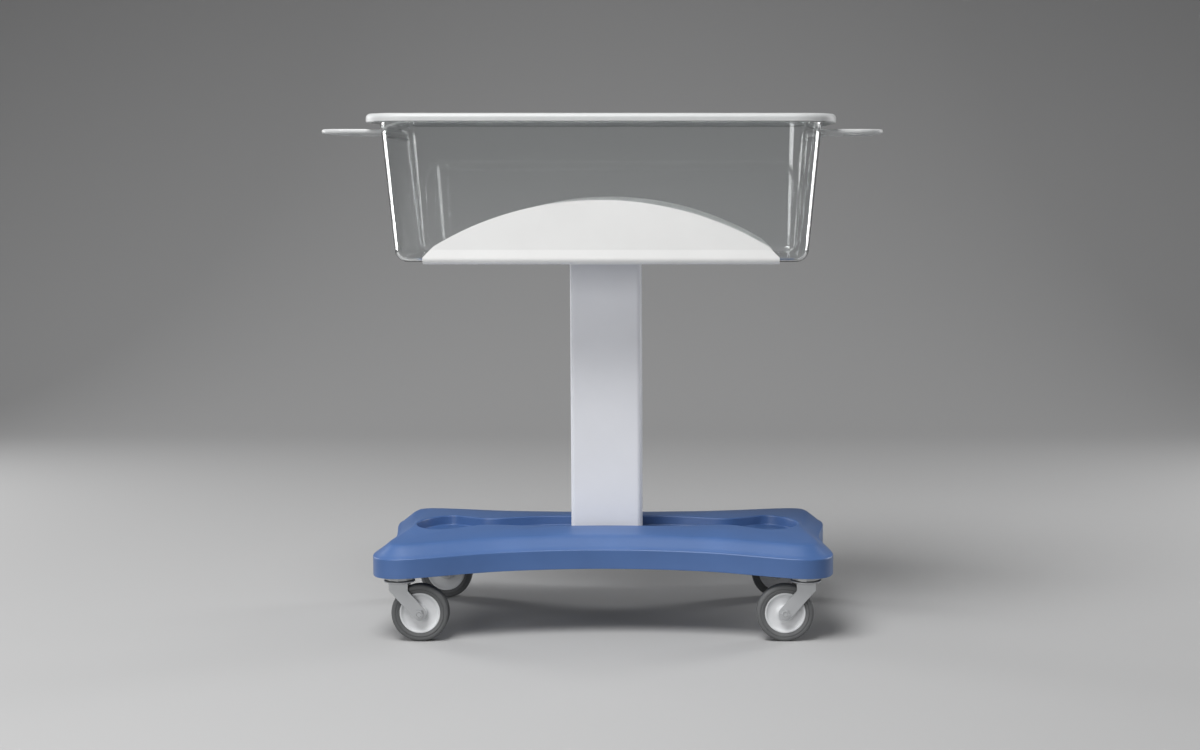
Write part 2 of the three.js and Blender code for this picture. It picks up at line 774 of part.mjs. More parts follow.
function tubRing(offset, z) {
  const halfX = tubFloorLength / 2 + offset;
  const halfY = tubFloorWidth / 2 + offset;
  return roundedRing(halfX, halfY, tubCorner + offset, z, cornerSteps);
}

function quarterRound(centreOffset, centreZ, radius, from, to) {
  return Array.from({ length: filletSteps + 1 }, (_, step) => {
    const angle = THREE.MathUtils.degToRad(from + ((to - from) * step) / filletSteps);
    return tubRing(centreOffset + radius * Math.cos(angle), centreZ + radius * Math.sin(angle));
  });
}

function tubOutside() {
  const rimUnderside = tubTop - rimThickness;
  const rimBottom = tubTop - rimDepth;
  const wall = wallAt(rimBottom);
  const rimOutside = wall + rimOverhang;
  const rimInside = rimOutside - rimThickness;
  const small = rimRound - rimThickness;
  return loft([
    ...quarterRound(-tubBottomRound, tubWallStart, tubBottomRound, -90, 0),
    tubRing(wall, rimBottom),
    ...quarterRound(wall + small, rimUnderside - small, small, 180, 90),
    ...quarterRound(rimInside - small, rimUnderside - small, small, 90, 0),
    tubRing(rimInside, rimBottom + rimSmallRound),
    tubRing(rimInside + rimSmallRound, rimBottom),
    tubRing(rimOutside - rimSmallRound, rimBottom),
    tubRing(rimOutside, rimBottom + rimSmallRound),
    ...quarterRound(rimOutside - rimRound, tubTop - rimRound, rimRound, 0, 90),
  ]);
}

function tubInside() {
  const round = tubBottomRound - tubWall;
  const lip = rimThickness - rimSmallRound;
  const wall = wallAt(tubTop - lip) - tubWall;
  return loft([
    ...quarterRound(-tubWall - round, tubWallStart, round, -90, 0),
    tubRing(wall, tubTop - lip),
    tubRing(wall + rimLipCut, tubTop - rimLipCut),
    tubRing(wall + lip, tubTop),
    tubRing(wall + lip + cutMargin, tubTop + cutMargin),
  ]);
}

function ear(sign) {
  const top = tubTop - rimDepth - earDropFromRim;
  const bottom = top - earThickness;
  const wall = tubFloorLength / 2 + wallAt(bottom);
  const root = wall - tubWall;
  const plan = new THREE.Shape();
  plan.moveTo(root, -earWidth / 2);
  plan.lineTo(earTip - earCorner, -earWidth / 2);
  plan.absarc(earTip - earCorner, -earWidth / 2 + earCorner, earCorner, -Math.PI / 2, 0);
  plan.absarc(earTip - earCorner, earWidth / 2 - earCorner, earCorner, 0, Math.PI / 2);
  plan.lineTo(root, earWidth / 2);
  plan.closePath();
  const end = handSlotWidth / 2;
  const slotX = earTip - handGripWidth - end;
  const slotY = handSlotLength / 2 - end;
  const slot = new THREE.Path();
  slot.absarc(slotX, -slotY, end, 0, -Math.PI, true);
  slot.absarc(slotX, slotY, end, -Math.PI, -2 * Math.PI, true);
  slot.closePath();
  plan.holes.push(slot);
  const fillet = new THREE.Shape();
  fillet.moveTo(root, bottom - earFillet);
  fillet.lineTo(wall - tubTaper * earFillet, bottom - earFillet);
  fillet.absarc(wall + earFillet, bottom - earFillet, earFillet, Math.PI, Math.PI / 2, true);
  fillet.lineTo(wall + earFillet, bottom + earThickness / 2);
  fillet.lineTo(root, bottom + earThickness / 2);
  fillet.closePath();
  const filletReach = earWidth / 2 - earFilletInset;
  const parts = [prismZ(plan, bottom, top), prismY(fillet, filletReach, -filletReach)];
  return parts.map((part) => (sign > 0 ? part : part.rotateZ(Math.PI)));
}

const tub = () => cut(joined([tubOutside(), ...ear(1), ...ear(-1)]), [tubInside()]);

// The whole bassinet
const bassinet = new THREE.Group();
const places = [['front_left', -1, -1], ['front_right', 1, -1], ['rear_left', -1, 1], ['rear_right', 1, 1]];
for (const [place, signX, signY] of places) {
  bassinet.add(castor(place, signX, signY));
}
bassinet.add(piece('chassis_beam', beam(), darkPaint));
bassinet.add(piece('chassis_crossbar_left', crossbar(-1), darkPaint));
bassinet.add(piece('chassis_crossbar_right', crossbar(1), darkPaint));
bassinet.add(piece('base_cover', baseCover(), bluePlastic));
bassinet.add(piece('cover_screw_left', coverScrew(-1), zincSteel));
bassinet.add(piece('cover_screw_right', coverScrew(1), zincSteel));
bassinet.add(piece('column', column(), palePaint));
pairs(footBoltSpanX, footBoltSpanY).forEach(([x, y], i) => {
  bassinet.add(piece(`foot_bolt_${i + 1}`, footBolt(x, y), zincSteel));
});
bassinet.add(piece('saddle', saddle(), whitePaint));
pairs(saddleScrewSpanX, saddleScrewSpanY).forEach(([x, y], i) => {
  bassinet.add(piece(`saddle_screw_${i + 1}`, saddleScrew(x, y), zincSteel));
});
bassinet.add(piece('tub', tub(), clearPlastic));

export default bassinet;
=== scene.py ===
import json
import math

import bmesh
import bpy
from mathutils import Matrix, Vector


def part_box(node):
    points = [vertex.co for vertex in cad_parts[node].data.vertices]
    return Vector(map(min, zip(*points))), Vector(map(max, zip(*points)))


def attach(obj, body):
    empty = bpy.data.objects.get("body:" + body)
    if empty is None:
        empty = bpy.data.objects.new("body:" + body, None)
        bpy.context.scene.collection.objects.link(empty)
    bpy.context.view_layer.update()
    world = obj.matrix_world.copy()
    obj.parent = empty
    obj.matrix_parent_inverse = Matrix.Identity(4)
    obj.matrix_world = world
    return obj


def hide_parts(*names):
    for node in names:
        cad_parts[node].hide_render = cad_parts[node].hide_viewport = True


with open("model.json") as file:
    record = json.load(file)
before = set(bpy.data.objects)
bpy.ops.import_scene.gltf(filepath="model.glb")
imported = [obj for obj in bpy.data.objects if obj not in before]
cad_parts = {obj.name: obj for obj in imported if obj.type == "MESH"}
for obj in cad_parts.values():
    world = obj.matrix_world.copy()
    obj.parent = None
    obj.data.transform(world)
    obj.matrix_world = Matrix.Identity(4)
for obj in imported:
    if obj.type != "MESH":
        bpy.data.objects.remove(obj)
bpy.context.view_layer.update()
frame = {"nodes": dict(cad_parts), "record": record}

MM = 0.001

# The photograph's camera looks down a little, and its frame is shifted to the side
FRAME_WIDTH = 1200
FOCAL_PIXELS = 2015
PRINCIPAL_PIXEL_X = 702
CAMERA_PLACE = (0.173, -3.637, 0.821)
CAMERA_PITCH = math.radians(5.87)
SENSOR_WIDTH = 36

# Sizes of the object are in millimetres, as in the solids. Its castors:
PLACES = (
    ("front_left", -1, -1),
    ("front_right", 1, -1),
    ("rear_left", -1, 1),
    ("rear_right", 1, 1),
)
CASTOR_X = 354
CASTOR_Y = 180
TRAIL = 36
AXLE_Z = 50
WHEEL_SIDE_GAP = 2

FORK_LEG = 2.5
FORK_WIDTH = 33
FORK_EYE = 12
FORK_KNEE = 91
LEG_EDGE = 0.6
LEG_MIDDLE = (8, 78)
CROWN_BOTTOM = 104
CROWN_TOP = 107
CROWN_RADIUS = 27
KINGPIN_HOLE = 5.2
# Steps of (radius, height) from the crown's lower and upper corner
CROWN_LOWER_EDGE = ((-1.5, 0), (0, 1))
CROWN_UPPER_EDGE = ((0, -0.6), (-0.6, 0))

WHEEL_RADIUS = 50
TYRE_WIDTH = 26
TYRE_SEAT_GAP = 0.3
TYRE_SHOULDER = 5.0
TYRE_SHOULDER_ARC = (80, 12)
# Points of (radius, height) against the tyre's side: bead, groove and wall
TYRE_SIDE = (
    (39.5, -0.4), (40.6, 0), (41.4, -0.1), (41.9, -1.0),
    (42.6, -1.0), (43.1, -0.1), (44.5, 0),
)
# Steps from the corner of tread and side, then half widths on the flat tread
TREAD_EDGE = ((-0.05, -7), (0, -9))
TREAD_FLATS = (0.8, 0.2)

CORE_RADIUS = 35.5
CORE_WIDTH = 22
HUB_RADIUS = 13
DISC_DEPTH = 4
# Steps of (radius, height): at the bore, over the hub's edge, down its foot to the disc,
# from the disc up to the rim, and over the rim
CORE_BORE = ((4.6, -0.6), (5.2, 0))
HUB_EDGE = ((-1.2, 0), (-0.3, -0.5), (0, -1.6))
HUB_FOOT = ((1.2, 1.6), (3, 0.3), (6, 0))
DISC_EDGE = ((-10, 0), (-6.5, 0.5), (-4, 2.2))
CORE_EDGE = ((-2.8, -0.3), (-2, 0), (-0.4, 0), (0, -0.5))

# Base cover
COVER_LENGTH = 804
COVER_WIDTH = 436
COVER_END_WAIST = 776
COVER_SIDE_WAIST = 302
COVER_LOBE = 52
COVER_TOP = 174
COVER_WALL = 3
ARCH = 6
SKIRT_BOTTOM = 114
SKIRT_TOP = 149
SKIRT_EDGE = 0.8
SKIRT_ROUND = 3.0
SKIRT_ROUND_ARC = (180, 124)
BEVEL_INSET = 27
BEVEL_TOP = 167
BEVEL_LEAD = 1
BEVEL_SAG = 0.4
SHOULDER_INSET = 32
SHOULDER_Z = (2 * BEVEL_TOP + COVER_TOP) / 3
LIP = 2.5
LIP_ROUND = 3.0
RECESS_LENGTH = 694
RECESS_LOBE_WIDTH = 146
RECESS_LOBE_SPAN = 584
RECESS_LOBE_FULLNESS = 0.72
RECESS_WAIST_WIDTH = 66
RECESS_WAIST_SPAN = 444
POCKET_WIDTH = 100
POCKET_LENGTH = 260
RECESS_FLOOR = 156
RECESS_DRAFT = 1.5

# Column
COLUMN_WIDTH = 127
COLUMN_DEPTH = 80
COLUMN_CORNER = 8
COLUMN_EDGE = 0.8
FOOT_PLATE_CORNER = 10
FOOT_PLATE_THICK = 5

# Tub
TUB_LENGTH = 715
TUB_WIDTH = 362
TUB_CORNER = 28
TUB_ROUND = 22
TUB_TAPER = 0.1
TUB_WALL = 5
TUB_BOTTOM = 659.3
TUB_TOP = 913
TUB_CREASE = TUB_BOTTOM + TUB_ROUND
RIM_OVERHANG = 24
RIM_DEPTH = 15.5
RIM_THICK = 5
RIM_ROUND = 8
# How far down from the top of the lip the painted highlight reaches
RIM_HIGHLIGHT_DEPTH = 11
RIM_FOOT_FLAT = 0.1
INNER_LIP = 4
EAR_TIP = 488
EAR_WIDTH = 300
EAR_THICK = 8
EAR_DROP = 10
EAR_CORNER = 45
EAR_FILLET = 12
EAR_EDGE = 3.2
SLOT_LENGTH = 190
SLOT_WIDTH = 34
GRIP_WIDTH = 26

# Saddle
SADDLE_BOTTOM = 656
SADDLE_SHEET = 3
SADDLE_BEND = 8
SADDLE_LENGTH = 612
SADDLE_TIP = 12
SADDLE_CHAMFER = 19
SADDLE_EDGE = 0.7
CHEEK_HEIGHT = 110.5
TUB_SIDE_GAP = 0.6
SADDLE_BAND = TUB_WIDTH / 2 + TUB_SIDE_GAP

# Stage, in metres
SWEEP_HALF = 40.0
SWEEP_FRONT = -40.0
SWEEP_BACK = 4.5
SWEEP_RADIUS = 2.0
SWEEP_HEIGHT = 6.0
# Painted shade on the stage: the wall darkens from the floor's tone up to this height
WALL_DARK_FROM = 2.2
FLOOR_TONE = (0.40, 0.40, 0.40, 1)
WALL_TONE = (0.19, 0.19, 0.19, 1)
STAGE_ROUGH = 0.75
WORLD_TONE = (0.14, 0.14, 0.145, 1)

# Lamps: name, place, target, size in metres, watts
LAMPS = (
    ("key_box", (-0.9, -1.7, 3.8), (0, 0, 0.5), (2.2, 2.0), 178),
    ("front_box", (-1.95, -3.5, 1.6), (0, 0, 0.6), (1.6, 1.4), 44),
    ("left_strip", (-2.8, 1.5, 1.25), (0, 0, 1.0), (0.7, 1.9), 38),
    ("right_strip", (2.8, 1.5, 1.25), (0, 0, 1.0), (0.7, 1.9), 38),
)

# Fineness of the meshes
ROUND_SIDES = 72
OUTLINE_POINTS = 288
CURVE_STEPS = 60
CORNER_STEPS = 14
ARC_STEPS = 8
EDGE_STEPS = 5
SHOULDER_STEPS = 6
BEVEL_STEPS = 4
CROWN_STEPS = 10
TIP_STEPS = 4
SADDLE_STEPS = 96
CHEEK_STEPS = 6
EAR_STEPS = 16
EYE_STEPS = 24
SADDLE_EDGE_SEGMENTS = 3
EAR_EDGE_SEGMENTS = 5
SWEEP_STEPS = 24
CUT_MARGIN = 2
MERGE_DISTANCE = 0.01
LEVEL_STEP = 0.001
SMALLEST_GAP = 1e-6

# Edges that turn by more than these angles, in degrees, are shaded sharp, or bevelled
SHELL_SMOOTH = 38
SADDLE_SMOOTH = 3.5
TUB_SMOOTH = 30
CASTOR_SMOOTH = 35
STAGE_SMOOTH = 60
BEVEL_ANGLE = 60

# Looks
PLASTIC_IOR = 1.49
CLEAR_TONE = (0.93, 0.945, 0.945, 1)
CLEAR_ROUGH = (0.015, 0.045)
CLEAR_HAZE_SCALE = 6.0
FLOW_SCALE = 14.0
FLOW_DEPTH = 0.0004
FLOW_STRENGTH = 0.12
# Painted highlight on the tub's lip and ears: a paler, less clear finish of the same plastic
HIGHLIGHT_PAINT_TONE = (0.64, 0.65, 0.65, 1)
HIGHLIGHT_PAINT_CLEARNESS = 0.3
HIGHLIGHT_PAINT_ROUGH = (0.38, 0.48)
HIGHLIGHT_PAINT_HAZE_SCALE = 8.0
HAZE_DETAIL = 2.0
FLOW_DETAIL = 1.0
CLOUD_SCALE = 9.0
CLOUD_DETAIL = 4.0
CLOUD_RAMP = (0.3, 0.7)
GRAIN_DETAIL = 2.0
GRAIN_STRENGTH = 0.4
GLOSS_SPREAD = 0.06
RUBBED_TONE = (0.16, 0.25, 0.50, 1)
RUBBED_FROM = 0.52
RUBBED_FULL = 0.60
RUBBED_SHARE = 0.22


# Materials
def material(name):
    made = bpy.data.materials.new(name)
    made.use_nodes = True
    nodes = made.node_tree.nodes
    return made, nodes, made.node_tree.links, nodes["Principled BSDF"]


def texture(nodes, links, scale, detail):
    """A noise in the object's own metres."""
    place = nodes.new("ShaderNodeTexCoord")
    noise = nodes.new("ShaderNodeTexNoise")
    noise.inputs["Scale"].default_value = scale
    noise.inputs["Detail"].default_value = detail
    links.new(place.outputs["Object"], noise.inputs["Vector"])
    return noise.outputs["Fac"]


def ramp(nodes, links, source, low, high, start, end):
    made = nodes.new("ShaderNodeValToRGB")
    made.color_ramp.elements[0].position = start
    made.color_ramp.elements[0].color = low
    made.color_ramp.elements[1].position = end
    made.color_ramp.elements[1].color = high
    links.new(source, made.inputs["Fac"])
    return made.outputs["Color"]


def spread(nodes, links, source, low, high):
    made = nodes.new("ShaderNodeMapRange")
    made.inputs["To Min"].default_value = low
    made.inputs["To Max"].default_value = high
    links.new(source, made.inputs["Value"])
    return made.outputs["Result"]


def bump(nodes, links, shader, height, distance, strength):
    made = nodes.new("ShaderNodeBump")
    made.inputs["Distance"].default_value = distance
    made.inputs["Strength"].default_value = strength
    links.new(height, made.inputs["Height"])
    links.new(made.outputs["Normal"], shader.inputs["Normal"])


def shaded(color, factor):
    return tuple(min(1.0, part * factor) for part in color[:3]) + (1.0,)


def coated(name, color, rough, grain_scale, grain_depth, vary, metal=0.0):
    """A plain surface with faint clouding, uneven gloss and a fine moulded or sprayed grain."""
    made, nodes, links, shader = material(name)
    clouds = texture(nodes, links, CLOUD_SCALE, CLOUD_DETAIL)
    grain = texture(nodes, links, grain_scale, GRAIN_DETAIL)
    dark, light = shaded(color, 1 - vary), shaded(color, 1 + vary)
    tint = ramp(nodes, links, clouds, dark, light, *CLOUD_RAMP)
    links.new(tint, shader.inputs["Base Color"])
    gloss = spread(nodes, links, clouds, rough - GLOSS_SPREAD, rough + GLOSS_SPREAD)
    links.new(gloss, shader.inputs["Roughness"])
    shader.inputs["Metallic"].default_value = metal
    bump(nodes, links, shader, grain, grain_depth, GRAIN_STRENGTH)
    return made


def plastic(name, tone, clearness, rough, haze_scale):
    """A clear plastic whose gloss is a little uneven."""
    made, nodes, links, shader = material(name)
    shader.inputs["Base Color"].default_value = tone
    shader.inputs["Transmission Weight"].default_value = clearness
    shader.inputs["IOR"].default_value = PLASTIC_IOR
    haze = texture(nodes, links, haze_scale, HAZE_DETAIL)
    links.new(spread(nodes, links, haze, *rough), shader.inputs["Roughness"])
    return made, nodes, links, shader


def clear_plastic():
    """The tub's walls, with the faint waves of a moulding."""
    made, nodes, links, shader = plastic(
        "clear_plastic", CLEAR_TONE, 1.0, CLEAR_ROUGH, CLEAR_HAZE_SCALE
    )
    flow = texture(nodes, links, FLOW_SCALE, FLOW_DETAIL)
    bump(nodes, links, shader, flow, FLOW_DEPTH, FLOW_STRENGTH)
    return made


def painted_highlight_plastic():
    """Painted highlight: the lip and the ears get a paler, less clear finish of the same plastic,
    in place of the light they catch.
    """
    return plastic(
        "clear_plastic_painted_highlight", HIGHLIGHT_PAINT_TONE, HIGHLIGHT_PAINT_CLEARNESS, HIGHLIGHT_PAINT_ROUGH, HIGHLIGHT_PAINT_HAZE_SCALE
    )[0]


def worn_blue():
    """Blue moulding with a fine grain, paler where its edges have been rubbed."""
    made = coated(
        "blue_plastic", (0.055, 0.122, 0.30, 1),
        rough=0.42, grain_scale=1400.0, grain_depth=0.00012, vary=0.06,
    )
    nodes, links = made.node_tree.nodes, made.node_tree.links
    shader = nodes["Principled BSDF"]
    base = shader.inputs["Base Color"].links[0].from_socket
    edge = nodes.new("ShaderNodeNewGeometry")
    rubbed = nodes.new("ShaderNodeMapRange")
    rubbed.inputs["From Min"].default_value = RUBBED_FROM
    rubbed.inputs["From Max"].default_value = RUBBED_FULL
    rubbed.inputs["To Max"].default_value = RUBBED_SHARE
    links.new(edge.outputs["Pointiness"], rubbed.inputs["Value"])
    mix = nodes.new("ShaderNodeMix")
    mix.data_type = "RGBA"
    links.new(rubbed.outputs["Result"], mix.inputs["Factor"])
    links.new(base, mix.inputs["A"])
    mix.inputs["B"].default_value = RUBBED_TONE
    links.new(mix.outputs["Result"], shader.inputs["Base Color"])
    return made


CLEAR = clear_plastic()
# Painted highlight finish for the tub's lip and ears
EDGE = painted_highlight_plastic()
BLUE = worn_blue()
WHITE = coated(
    "white_paint", (0.80, 0.80, 0.79, 1),
    rough=0.34, grain_scale=700.0, grain_depth=0.00010, vary=0.02,
)
PALE = coated(
    "pale_paint", (0.76, 0.77, 0.805, 1),
    rough=0.36, grain_scale=700.0, grain_depth=0.00010, vary=0.025,
)
DARK = coated(
    "dark_paint", (0.030, 0.032, 0.035, 1),
    rough=0.5, grain_scale=500.0, grain_depth=0.00010, vary=0.15,
)
ZINC = coated(
    "zinc_steel", (0.53, 0.54, 0.55, 1),
    rough=0.34, grain_scale=900.0, grain_depth=0.00005, vary=0.10, metal=0.55,
)
RUBBER = coated(
    "grey_rubber", (0.115, 0.118, 0.12, 1),
    rough=0.68, grain_scale=600.0, grain_depth=0.00025, vary=0.18,
)
HUB = coated(
    "grey_plastic", (0.67, 0.68, 0.69, 1),
    rough=0.40, grain_scale=900.0, grain_depth=0.00010, vary=0.05,
)
SLOT_MATERIALS = {
    "clear_plastic": CLEAR,
    "blue_plastic": BLUE,
    "white_paint": WHITE,
    "pale_paint": PALE,
    "dark_paint": DARK,
    "zinc_steel": ZINC,
    "grey_rubber": RUBBER,
    "grey_plastic": HUB,
}


# Mesh building
def finish_mesh(mesh, finish, smooth_angle):
    mesh.materials.clear()
    mesh.materials.append(finish)
    mesh.shade_smooth()
    mesh.set_sharp_from_angle(angle=math.radians(smooth_angle))


def add_object(name, mesh):
    made = bpy.data.objects.new(name, mesh)
    bpy.context.scene.collection.objects.link(made)
    return made


def mesh_from(name, points, faces):
    """A mesh in metres from points in millimetres, with doubles merged and faces turned outward."""
    mesh = bpy.data.meshes.new(name)
    mesh.from_pydata([tuple(value * MM for value in point) for point in points], [], faces)
    sheet = bmesh.new()
    sheet.from_mesh(mesh)
    bmesh.ops.remove_doubles(sheet, verts=sheet.verts, dist=MERGE_DISTANCE * MM)
    bmesh.ops.recalc_face_normals(sheet, faces=sheet.faces)
    sheet.to_mesh(mesh)
    sheet.free()
    return mesh


def loft(rings, endless=False, pinched=False):
    """Points and faces that skin a row of rings.

    The two ends are closed by a face each, unless the row is endless or its ends are pinched shut.
    """
    count = len(rings[0])
    bands = len(rings) if endless else len(rings) - 1
    faces = []
    for band in range(bands):
        here, after = band * count, (band + 1) % len(rings) * count
        for i in range(count):
            j = (i + 1) % count
            faces.append((here + i, here + j, after + j, after + i))
    if not endless and not pinched:
        last = (len(rings) - 1) * count
        faces.append(tuple(reversed(range(count))))
        faces.append(tuple(range(last, last + count)))
    return [point for ring in rings for point in ring], faces


def lathe(profile, place, axis):
    """Turns a closed profile of (radius, height) about Z or Y through a place."""
    rings = []
    for radius, height in profile:
        ring = []
        for side in range(ROUND_SIDES):
            angle = 2 * math.pi * side / ROUND_SIDES
            along, across = radius * math.cos(angle), radius * math.sin(angle)
            spot = (along, across, height) if axis == "Z" else (along, height, across)
            ring.append(tuple(a + b for a, b in zip(place, spot)))
        rings.append(ring)
    return loft(rings, endless=True)


def merged(parts):
    points, faces = [], []
    for part_points, part_faces in parts:
        start = len(points)
        points += part_points
        faces += [tuple(index + start for index in face) for face in part_faces]
    return points, faces


def prism(outline, low, high, lift):
    """Closes an outline of 2-D points between two levels.

    The function lift turns (a, b, level) into a point.
    """
    return loft([[lift(a, b, level) for a, b in outline] for level in (low, high)])


def arc(center, radius, start, end, steps=ARC_STEPS):
    angles = [math.radians(start + (end - start) * step / steps) for step in range(steps + 1)]
    return [(center[0] + radius * math.cos(a), center[1] + radius * math.sin(a)) for a in angles]


def stepped(corner, steps):
    """Points at small steps from a corner of a profile."""
    return [(corner[0] + out, corner[1] + up) for out, up in steps]


def bevel(piece, width, segments):
    step = piece.modifiers.new("edges", "BEVEL")
    step.width = width * MM
    step.segments = segments
    step.limit_method = "ANGLE"
    step.angle_limit = math.radians(BEVEL_ANGLE)


def weigh(piece):
    step = piece.modifiers.new("even_shading", "WEIGHTED_NORMAL")
    step.keep_sharp = True


def boolean(target, tool, operation):
    step = target.modifiers.new(operation.lower(), "BOOLEAN")
    step.operation = operation
    step.solver = "EXACT"
    step.object = tool


def settle(piece):
    """Applies a piece's modifiers to its mesh."""
    graph = bpy.context.evaluated_depsgraph_get()
    mesh = bpy.data.meshes.new_from_object(piece.evaluated_get(graph))
    piece.modifiers.clear()
    piece.data = mesh


def dress(piece, body, node):
    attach(piece, body)
    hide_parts(node)


# Rings
def rounded_ring(half_x, half_y, corner, z):
    ring = []
    for quarter, (sx, sy) in enumerate(((1, 1), (-1, 1), (-1, -1), (1, -1))):
        center = (sx * (half_x - corner), sy * (half_y - corner))
        turn = arc(center, corner, 90 * quarter, 90 * quarter + 90, CORNER_STEPS)
        ring += [(x, y, z) for x, y in turn]
    return ring


def centripetal(a, b, c, d, t):
    """A point between b and c on a centripetal Catmull-Rom curve."""
    gaps = [max(math.dist(p, q) ** 0.5, SMALLEST_GAP) for p, q in ((a, b), (b, c), (c, d))]
    spot = []
    for x0, x1, x2, x3 in zip(a, b, c, d):
        out = (x1 - x0) / gaps[0] - (x2 - x0) / (gaps[0] + gaps[1]) + (x2 - x1) / gaps[1]
        into = (x2 - x1) / gaps[1] - (x3 - x1) / (gaps[1] + gaps[2]) + (x3 - x2) / gaps[2]
        out, into = out * gaps[1], into * gaps[1]
        cubic = 2 * x1 - 2 * x2 + out + into
        square = -3 * x1 + 3 * x2 - 2 * out - into
        spot.append(x1 + out * t + square * t ** 2 + cubic * t ** 3)
    return tuple(spot)


def fourfold_curve(quarter):
    """A closed curve of many points through a quarter's knots and their mirror images."""
    inner = quarter[1:-1]
    knots = [quarter[0], *inner, quarter[-1]]
    knots += [(-x, y) for x, y in reversed(inner)] + [(-quarter[0][0], 0)]
    knots += [(-x, -y) for x, y in inner] + [(0, -quarter[-1][1])]
    knots += [(x, -y) for x, y in reversed(inner)]
    count = len(knots)
    dense = []
    for i in range(count):
        around = [knots[(i + step) % count] for step in (-1, 0, 1, 2)]
        dense += [centripetal(*around, t / CURVE_STEPS) for t in range(CURVE_STEPS)]
    return dense + dense[:1]


def evenly_spaced(dense):
    """Points at equal distances along a closed curve."""
    lengths = [0.0]
    for p, q in zip(dense, dense[1:]):
        lengths.append(lengths[-1] + math.dist(p, q))
    spots, at = [], 0
    for i in range(OUTLINE_POINTS):
        target = lengths[-1] * i / OUTLINE_POINTS
        while lengths[at + 1] < target:
            at += 1
        t = (target - lengths[at]) / (lengths[at + 1] - lengths[at])
        spots.append(tuple(p + (q - p) * t for p, q in zip(dense[at], dense[at + 1])))
    return spots


def fourfold(quarter):
    """Even points, each with its inward normal, on a curve that is alike in all four quarters."""
    spots = evenly_spaced(fourfold_curve(quarter))
    made = []
    for i, spot in enumerate(spots):
        before, after = spots[i - 1], spots[(i + 1) % OUTLINE_POINTS]
        heading = Vector((after[0] - before[0], after[1] - before[1])).normalized()
        made.append((spot, (-heading.y, heading.x)))
    return made


def arch_at(x):
    return ARCH * (1 - (2 * x / COVER_LENGTH) ** 2)


def inset_ring(curve, inset, z):
    """A ring inside a curve, lifted by the cover's arch."""
    ring = []
    for (x, y), (inward_x, inward_y) in curve:
        x, y = x + inset * inward_x, y + inset * inward_y
        ring.append((x, y, z + arch_at(x)))
    return ring


def inset_rings(curve, profile):
    return [inset_ring(curve, inset, z) for inset, z in profile]


def blend_rings(first, second, share, z):
    ring = []
    for p, q in zip(first, second):
        x, y = (p[0] + (q[0] - p[0]) * share), (p[1] + (q[1] - p[1]) * share)
        ring.append((x, y, z + arch_at(x)))
    return ring


def pinched_ring(ring):
    """A ring folded flat onto the X axis, where its two halves meet."""
    twins = [ring[min(i, len(ring) - i)] for i in range(len(ring))]
    return [(x, 0.0, z) for x, y, z in twins]


# Base cover
def cover_outline():
    diagonal = COVER_LOBE * (1 - math.sqrt(0.5))
    half_x, half_y = COVER_LENGTH / 2, COVER_WIDTH / 2
    return fourfold([
        (COVER_END_WAIST / 2, 0),
        (half_x, half_y - COVER_LOBE),
        (half_x - diagonal, half_y - diagonal),
        (half_x - COVER_LOBE, half_y),
        ((half_x - COVER_LOBE) / 2, (3 * COVER_SIDE_WAIST + COVER_WIDTH) / 8),
        (0, COVER_SIDE_WAIST / 2),
    ])


def recess_outline():
    lobe_end = RECESS_LENGTH / 2 - (RECESS_LENGTH - RECESS_LOBE_SPAN) / 6
    return fourfold([
        (RECESS_LENGTH / 2, 0),
        (lobe_end, RECESS_LOBE_WIDTH / 2 * RECESS_LOBE_FULLNESS),
        (RECESS_LOBE_SPAN / 2, RECESS_LOBE_WIDTH / 2),
        (RECESS_WAIST_SPAN / 2, RECESS_WAIST_WIDTH / 2),
        (POCKET_LENGTH / 2, POCKET_WIDTH / 2),
        (0, POCKET_WIDTH / 2),
    ])


def skirt_profile():
    """Insets and levels from the skirt's foot over its rounded top edge and up the bevel."""
    center = (SKIRT_ROUND, SKIRT_TOP - SKIRT_ROUND)
    profile = [(SKIRT_EDGE, SKIRT_BOTTOM), (0, SKIRT_BOTTOM + SKIRT_EDGE)]
    profile += arc(center, SKIRT_ROUND, *SKIRT_ROUND_ARC, EDGE_STEPS)
    start = SKIRT_ROUND + BEVEL_LEAD
    rise = (BEVEL_TOP - SKIRT_TOP + BEVEL_SAG) / (BEVEL_INSET - SKIRT_ROUND)
    for step in range(BEVEL_STEPS + 1):
        inset = start + (BEVEL_INSET - start) * step / BEVEL_STEPS
        profile.append((inset, SKIRT_TOP - BEVEL_SAG + (inset - SKIRT_ROUND) * rise))
    return profile


def cover_outside(outline, recess):
    """Rings from the skirt's foot over the crowned top, down into the recess and onto its floor."""
    rings = inset_rings(outline, skirt_profile())
    outer = inset_ring(outline, SHOULDER_INSET, SHOULDER_Z)
    lip = inset_ring(recess, -LIP, COVER_TOP)
    rings.append(outer)
    for step in range(1, CROWN_STEPS):
        share = step / CROWN_STEPS
        z = SHOULDER_Z + (COVER_TOP - SHOULDER_Z) * math.sin(share * math.pi / 2)
        rings.append(blend_rings(outer, lip, share, z))
    lip_center = (-LIP_ROUND, COVER_TOP - LIP_ROUND)
    foot_center = (RECESS_DRAFT + LIP_ROUND, RECESS_FLOOR + LIP_ROUND)
    rings += inset_rings(recess, arc(lip_center, LIP_ROUND, 90, 0, EDGE_STEPS))
    rings += inset_rings(recess, arc(foot_center, LIP_ROUND, 180, 270, EDGE_STEPS))
    return rings + [pinched_ring(rings[-1])]


